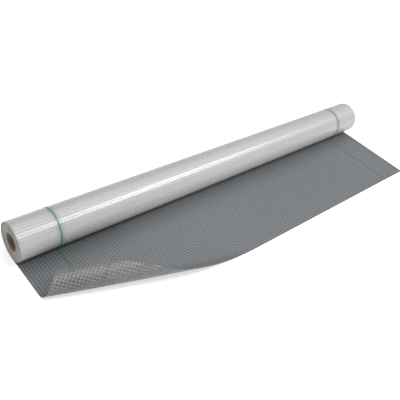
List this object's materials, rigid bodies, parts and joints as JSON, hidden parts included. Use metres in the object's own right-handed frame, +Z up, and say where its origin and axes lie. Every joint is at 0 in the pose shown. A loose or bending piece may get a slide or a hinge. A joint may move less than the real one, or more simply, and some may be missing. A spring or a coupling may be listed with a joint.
{
  "type": "roll of fiberglass mesh",
  "caption": "Wide roll of white reinforcing mesh with green edge threads, wound on an open cardboard tube, its loose end unrolled in front and one corner curled over",
  "frame": {"origin": "on the floor, under the middle of the box that holds the roll and its loose end", "axes": "+X along the roll's axis toward the end away from the curled corner, -Y the way the loose end unrolls, +Z up"},
  "size_m": [1.5, 0.3904, 0.1186],
  "materials": {
    "cardboard": "matt brown spiral-wound cardboard",
    "mesh": "satin white mesh, its inner face grey, with a square grid of threads and two green edge threads"
  },
  "bodies": {
    "root": {"core_tube": "cardboard", "mesh_sheet": "mesh"}
  },
  "joints": []
}
